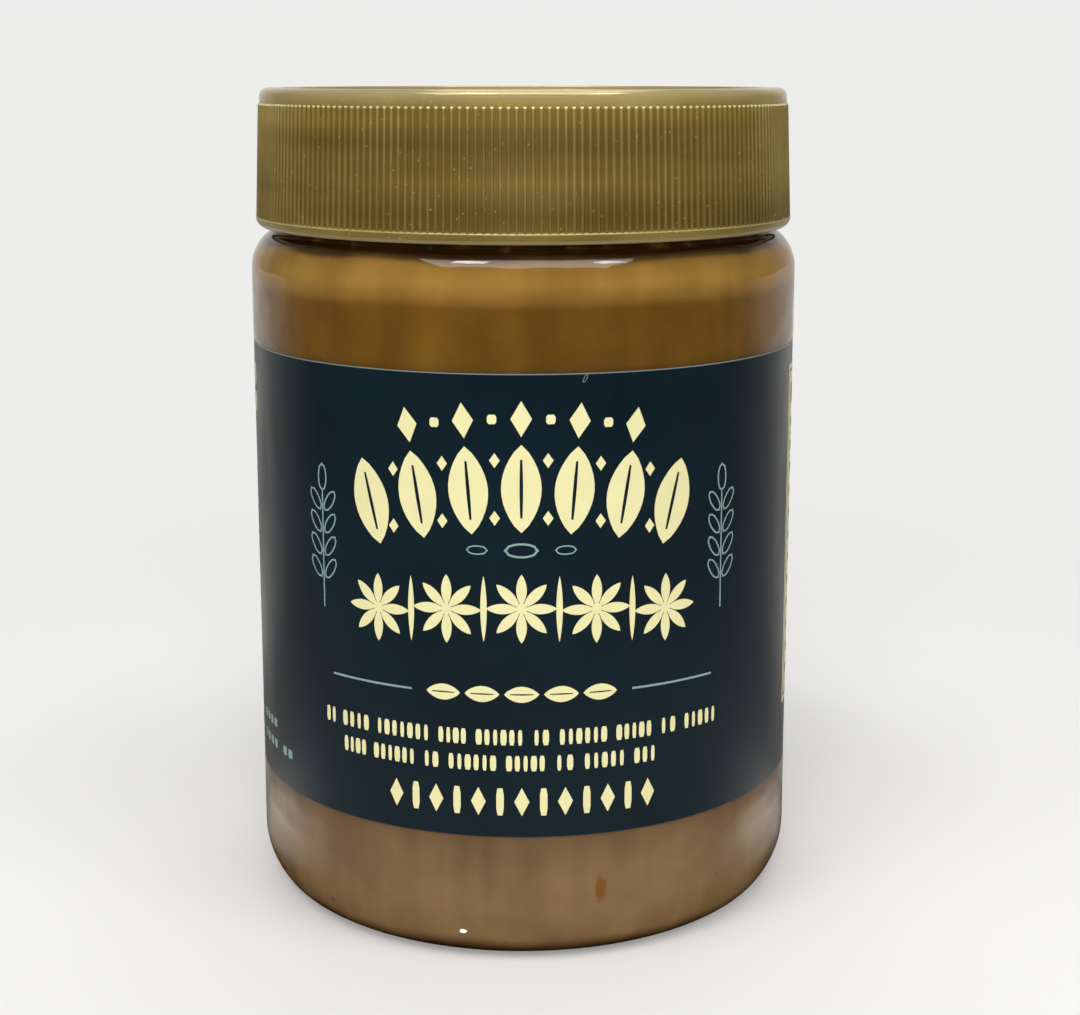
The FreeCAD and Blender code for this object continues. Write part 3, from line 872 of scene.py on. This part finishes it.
def shaded_skirt(tree, sizes, level, paint, rib_shade_colour):
    """Painted shade behind the ribs, a painted reflection along the open edge and a painted
    highlight on the ledge.
    """
    # painted shade in the valleys between the ribs
    below = add_node(
        tree, "ShaderNodeMapRange", Value=level, From_Min=sizes.rib_top - 0.02 * MM,
        From_Max=sizes.rib_top - 0.3 * MM)
    above = add_node(
        tree, "ShaderNodeMapRange", Value=level, From_Min=sizes.band_level + 0.05 * MM,
        From_Max=sizes.band_level + 0.3 * MM)
    painted_valley_shade = add_node(tree, "ShaderNodeMath", {"operation": "MULTIPLY"}, _0=below, _1=above)
    paint = add_node(
        tree, "ShaderNodeMix", PLAIN, _0=painted_valley_shade, _6=paint, _7=linear(rib_shade_colour)).outputs[2]
    # painted reflection: the open edge is painted paler where it would mirror the bright floor
    painted_edge_reflection = add_node(
        tree, "ShaderNodeMapRange", Value=level, From_Min=sizes.edge_level + 0.35 * MM,
        From_Max=sizes.edge_level + 0.12 * MM, To_Max=0.7)
    paint = add_node(
        tree, "ShaderNodeMix", PLAIN, _0=painted_edge_reflection, _6=paint, _7=linear("#b9ac86")).outputs[2]
    # painted highlight along the rounded ledge above the lower band
    over = add_node(
        tree, "ShaderNodeMath", {"operation": "SUBTRACT"}, _0=level,
        _1=sizes.band_level - 0.4 * sizes.ledge)
    away = add_node(tree, "ShaderNodeMath", {"operation": "ABSOLUTE"}, _0=over)
    crest = add_node(
        tree, "ShaderNodeMapRange", Value=away, From_Min=0.3 * sizes.ledge,
        From_Max=0.8 * sizes.ledge, To_Min=0.6, To_Max=0.0)
    return add_node(
        tree, "ShaderNodeMix", PLAIN, _0=crest, _6=paint, _7=linear("#e2d295")).outputs[2]


def printed_film(sizes):
    """Polypropylene wrap film, gravure printed and varnished: a dark field under a soft gloss.

    The cut along its top edge shows the pale film under the ink.
    """
    material, tree, shader, place = new_material("label_film_printed")
    level = add_node(tree, "ShaderNodeSeparateXYZ", Vector=place).outputs["Z"]
    cloud = add_node(tree, "ShaderNodeTexNoise", Vector=place, Scale=1 / (14 * MM), Detail=2.0)
    field = add_node(
        tree, "ShaderNodeMix", SOFT, _0=0.35, _6=tuple(sizes.field), _7=cloud).outputs[2]
    cut = add_node(
        tree, "ShaderNodeMapRange", Value=level, From_Min=sizes.high - 0.16 * MM,
        From_Max=sizes.high - 0.08 * MM, To_Max=0.55)
    field = add_node(
        tree, "ShaderNodeMix", PLAIN, _0=cut, _6=field, _7=linear("#93a19c")).outputs[2]
    tree.links.new(field, shader.inputs["Base Color"])
    varnish(tree, shader, place, 0.26, 0.38)
    return material


def printing_ink(name, ink):
    """Gravure ink on film: a slightly uneven colour under the same varnish."""
    material, tree, shader, place = new_material(name.replace("print", "ink"))
    cloud = add_node(tree, "ShaderNodeTexNoise", Vector=place, Scale=1 / (3 * MM), Detail=2.0)
    tint = add_node(tree, "ShaderNodeMix", SOFT, _0=0.16, _6=tuple(ink), _7=cloud).outputs[2]
    tree.links.new(tint, shader.inputs["Base Color"])
    varnish(tree, shader, place, 0.3, 0.42)
    return material


def varnish(tree, shader, place, smooth, rough):
    """Thin varnish: weak gloss, uneven from where the film drew tight round the jar."""
    patches = stretched_patches(tree, place, 8 * MM, 25 * MM, 2.0)
    finish = add_node(
        tree, "ShaderNodeMapRange", Value=patches, From_Min=0.35, From_Max=0.65, To_Min=smooth,
        To_Max=rough)
    tree.links.new(finish.outputs["Result"], shader.inputs["Roughness"])
    waves = add_node(tree, "ShaderNodeBump", Height=patches, Strength=0.3, Distance=0.1 * MM)
    tree.links.new(waves.outputs["Normal"], shader.inputs["Normal"])
    shader.inputs["Specular IOR Level"].default_value = 0.35


def floor_paper(sizes):
    """Plain pale paper that fades into the backdrop away from the jar."""
    material, tree, shader, place = new_material("floor_paper_pale")
    shader.inputs["Base Color"].default_value = sizes.floor
    shader.inputs["Roughness"].default_value = 0.9
    away = add_node(
        tree, "ShaderNodeVectorMath", {"operation": "LENGTH"}, _0=place).outputs["Value"]
    fade = add_node(
        tree, "ShaderNodeMapRange", {"interpolation_type": "SMOOTHSTEP"}, Value=away,
        From_Min=sizes.fade_start, From_Max=sizes.fade_end)
    path = add_node(tree, "ShaderNodeLightPath").outputs
    seen = add_node(
        tree, "ShaderNodeMath", {"operation": "MAXIMUM"}, _0=path["Is Camera Ray"],
        _1=path["Is Transmission Ray"])
    share = add_node(tree, "ShaderNodeMath", {"operation": "MULTIPLY"}, _0=fade, _1=seen)
    glow = add_node(tree, "ShaderNodeEmission", Color=tuple(sizes.backdrop), Strength=1.0)
    mixed = add_node(tree, "ShaderNodeMixShader", _0=share, _1=shader, _2=glow)
    mirrored = add_node(
        tree, "ShaderNodeEmission", Color=tuple(sizes.gloss),
        Strength=floor_gloss(tree, sizes, place, away))
    mixed = add_node(
        tree, "ShaderNodeMixShader", _0=path["Is Glossy Ray"], _1=mixed, _2=mirrored)
    tree.links.new(mixed.outputs[0], tree.nodes["Material Output"].inputs["Surface"])
    return material


def floor_gloss(tree, sizes, place, away):
    """How bright gloss shows the floor: pale behind the jar and beside it, and dim in front.

    Close to the foot it is dark, but for one small bright spot that makes a glint on the heel.
    """
    depth = add_node(tree, "ShaderNodeSeparateXYZ", Vector=place).outputs["Y"]
    # -1 straight in front of the jar, 1 straight behind it
    turned = add_node(tree, "ShaderNodeMath", {"operation": "DIVIDE"}, _0=depth, _1=away)
    apart = add_node(
        tree, "ShaderNodeVectorMath", {"operation": "DISTANCE"}, _0=place,
        _1=(-8.6 * MM, -35.5 * MM, 0)).outputs["Value"]
    behind = floor_zone(
        tree, (turned, 0.0, 0.72, 0.0, 0.68), (away, 40 * MM, 140 * MM, 0.3, 1.0))
    beside = floor_zone(
        tree, (turned, -0.55, -0.1, 0.25, 1.35), (turned, 0.1, 0.4, 1.0, 0.25),
        (away, 100 * MM, 55 * MM, 0.0, 1.0), (away, 37 * MM, 55 * MM, 0.0, 1.0))
    front = floor_zone(
        tree, (away, 50 * MM, 300 * MM, 0.4, sizes.front_dim),
        (away, 36 * MM, 60 * MM, 0.0, 1.0))
    spot = floor_zone(tree, (apart, 0.7 * MM, 0.4 * MM, 0.0, 20.0))
    shown = behind
    for zone in (beside, front):
        shown = add_node(tree, "ShaderNodeMath", {"operation": "MAXIMUM"}, _0=shown, _1=zone)
    return add_node(tree, "ShaderNodeMath", {"operation": "ADD"}, _0=shown, _1=spot)


def floor_zone(tree, *edges):
    """Brightness of a zone from its edges: a value, where that fades, and how bright it is."""
    bright = 1.0
    for value, start, end, low, high in edges:
        fade = add_node(
            tree, "ShaderNodeMapRange", Value=value, From_Min=start, From_Max=end, To_Min=low,
            To_Max=high)
        bright = add_node(
            tree, "ShaderNodeMath", {"operation": "MULTIPLY"}, _0=bright, _1=fade)
    return bright


# ---------------------------------------------------------------- operators

class StageOperator(bpy.types.Operator):
    """Set up the floor, the backdrop, the lamps and the camera"""

    bl_idname = "cookie_jar.stage"
    bl_label = "Stage"

    def execute(self, context):
        sizes = context.scene.cookie_stage
        deselect()
        bpy.ops.mesh.primitive_plane_add(size=sizes.floor_size)
        floor = context.object
        floor.name = "floor"
        wear(floor, floor_paper(sizes))
        add_world(context.scene, sizes)
        # name, place, width and height, power in watts, and whether gloss shows it
        for name, place, size, power, shown in (
                ("lamp_front", (-0.04, -1.1, 0.5), (0.7, 0.6), 9.2, False),
                ("lamp_left", (-0.95, -0.5, 0.5), (0.5, 0.7), 0.5, False),
                ("lamp_right", (0.95, -0.5, 0.5), (0.5, 0.7), 0.4, False),
                ("lamp_high", (0, -0.38, 1.2), (1.3, 0.65), 7.0, True),
                ("lamp_spark", (-0.27, -0.36, 1.15), (0.22, 0.14), 1.0, True),
                ("lamp_spark_right", (0.5, -0.3, 1.15), (0.16, 0.12), 0.5, True),
                ("lamp_back", (0.05, 0.4, 1.0), (0.6, 0.4), 2.0, True)):
            add_lamp(name, place, size, power, shown, sizes.lamp_aim)
        add_camera(context.scene, sizes)
        return {"FINISHED"}


def add_world(scene, sizes):
    """Pale backdrop for the camera and clear plastic; gloss shows a room that is dim in front."""
    world = bpy.data.worlds.new("backdrop")
    world.use_nodes = True
    scene.world = world
    tree = world.node_tree
    tree.nodes.clear()
    path = add_node(tree, "ShaderNodeLightPath").outputs
    through = add_node(
        tree, "ShaderNodeMath", {"operation": "MAXIMUM"}, _0=path["Is Camera Ray"],
        _1=path["Is Transmission Ray"])
    way = add_node(tree, "ShaderNodeTexCoord").outputs["Generated"]
    depth = add_node(tree, "ShaderNodeSeparateXYZ", Vector=way).outputs["Y"]
    turned_back = 0.54  # depth of the direction from which the room grows brighter; 1 is behind
    dimmed = add_node(
        tree, "ShaderNodeMapRange", {"interpolation_type": "SMOOTHSTEP"}, Value=depth,
        From_Min=turned_back, From_Max=1.0, To_Min=sizes.front_dim,
        To_Max=sizes.back_glow)
    light = add_node(
        tree, "ShaderNodeBackground", Color=(1, 1, 1, 1), Strength=sizes.ambient)
    seen = add_node(tree, "ShaderNodeBackground", Color=tuple(sizes.backdrop), Strength=1.0)
    room = add_node(tree, "ShaderNodeBackground", Color=tuple(sizes.gloss), Strength=dimmed)
    mixed = add_node(
        tree, "ShaderNodeMixShader", _0=path["Is Glossy Ray"], _1=light, _2=room)
    mixed = add_node(tree, "ShaderNodeMixShader", _0=through, _1=mixed, _2=seen)
    add_node(tree, "ShaderNodeOutputWorld", Surface=mixed)


def add_lamp(name, place, size, power, shown, aim_height):
    """A soft box that points at the middle of the jar, and shows or not in its gloss."""
    deselect()
    bpy.ops.object.light_add(type="AREA", location=place)
    lamp = bpy.context.object
    lamp.name = name
    lamp.data.shape = "RECTANGLE"
    lamp.data.size, lamp.data.size_y = size
    lamp.data.energy = power
    aim = Vector((0, 0, aim_height)) - Vector(place)
    lamp.rotation_euler = aim.to_track_quat("-Z", "Y").to_euler()
    lamp.visible_glossy = shown


def add_camera(scene, sizes):
    """Camera in front of the jar, a little above its cap."""
    deselect()
    bpy.ops.object.camera_add(
        location=(sizes.camera_side, -sizes.camera_distance, sizes.camera_height),
        rotation=(math.pi / 2 - sizes.camera_pitch, 0, 0))
    camera = bpy.context.object
    camera.data.sensor_width = 36
    camera.data.lens = sizes.focal_length
    camera.data.shift_y = sizes.camera_rise
    camera.data.clip_start = 0.01
    scene.camera = camera


class JarOperator(bpy.types.Operator):
    """Model the clear jar"""

    bl_idname = "cookie_jar.jar"
    bl_label = "Clear jar"

    def execute(self, context):
        jar = make_jar(context.scene.cookie_jar)
        wear(jar, clear_pet())
        jar.visible_shadow = False
        jar.visible_diffuse = False
        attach(jar, "root")
        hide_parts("jar")
        return {"FINISHED"}


class SpreadOperator(bpy.types.Operator):
    """Model the spread that fills the jar"""

    bl_idname = "cookie_jar.spread"
    bl_label = "Spread"

    def execute(self, context):
        spread = make_spread(context.scene.cookie_jar)
        wear(spread, biscuit_spread())
        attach(spread, "root")
        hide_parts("spread")
        return {"FINISHED"}


class CapOperator(bpy.types.Operator):
    """Model the ribbed cap"""

    bl_idname = "cookie_jar.cap"
    bl_label = "Ribbed cap"

    def execute(self, context):
        sizes = context.scene.cookie_cap
        shell = make_cap_shell(sizes)
        ribs = make_cap_ribs(sizes)
        # the shell's last colour is the painted shade behind the ribs
        shell_gold = gold_polypropylene(
            sizes, "polypropylene_gold_shell", "#84702f", "#968343", "#715c24")
        rib_gold = gold_polypropylene(
            sizes, "polypropylene_gold_ribs", "#7e6b31", "#8e7c42")
        for piece, gold in ((shell, shell_gold), (ribs, rib_gold)):
            wear(piece, gold)
            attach(piece, "root")
        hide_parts("cap")
        return {"FINISHED"}


class LabelOperator(bpy.types.Operator):
    """Model the wrap label"""

    bl_idname = "cookie_jar.label"
    bl_label = "Wrap label"

    def execute(self, context):
        sizes = context.scene.cookie_label
        film = make_film(sizes)
        wear(film, printed_film(sizes))
        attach(film, "root")
        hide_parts("label")
        return {"FINISHED"}


class PrintOperator(bpy.types.Operator):
    """Print the label: cream and sage ink, and dark rules on the side panel"""

    bl_idname = "cookie_jar.print"
    bl_label = "Label print"

    def execute(self, context):
        sizes = context.scene.cookie_label
        # name, shapes, colour, and height above the film in thicknesses of ink
        for name, shapes, ink, lift in (
                ("print_cream", cream_front() + cream_sides(), sizes.cream, 1),
                ("print_sage", sage_print(sizes), sizes.sage, 1),
                ("print_dark", panel_rules(), sizes.field, 1.4)):
            piece = gather(name, shapes)
            wrap(piece, sizes.radius + sizes.ink * lift)
            wear(piece, printing_ink(name, ink))
            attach(piece, "root")
        return {"FINISHED"}


class CookieJarPanel(bpy.types.Panel):
    """Buttons for the jar's pieces"""

    bl_idname = "VIEW3D_PT_cookie_jar"
    bl_label = "Cookie Jar"
    bl_space_type = "VIEW_3D"
    bl_region_type = "UI"
    bl_category = "Cookie Jar"

    def draw(self, context):
        for operator in OPERATORS:
            self.layout.operator(operator.bl_idname)


GROUPS = {
    "cookie_jar": JarSizes, "cookie_cap": CapSizes, "cookie_label": LabelSizes,
    "cookie_stage": StageSizes}
OPERATORS = (
    StageOperator, JarOperator, SpreadOperator, CapOperator, LabelOperator, PrintOperator)


def register():
    for name, group in GROUPS.items():
        bpy.utils.register_class(group)
        setattr(bpy.types.Scene, name, PointerProperty(type=group))
    for operator in OPERATORS:
        bpy.utils.register_class(operator)
    bpy.utils.register_class(CookieJarPanel)


def unregister():
    bpy.utils.unregister_class(CookieJarPanel)
    for operator in reversed(OPERATORS):
        bpy.utils.unregister_class(operator)
    for name, group in reversed(GROUPS.items()):
        delattr(bpy.types.Scene, name)
        bpy.utils.unregister_class(group)


def main():
    register()
    bpy.context.scene.view_settings.view_transform = "Standard"
    bpy.ops.cookie_jar.stage()
    bpy.ops.cookie_jar.jar()
    bpy.ops.cookie_jar.spread()
    bpy.ops.cookie_jar.cap()
    bpy.ops.cookie_jar.label()
    bpy.ops.cookie_jar.print()


if __name__ == "__main__":
    main()
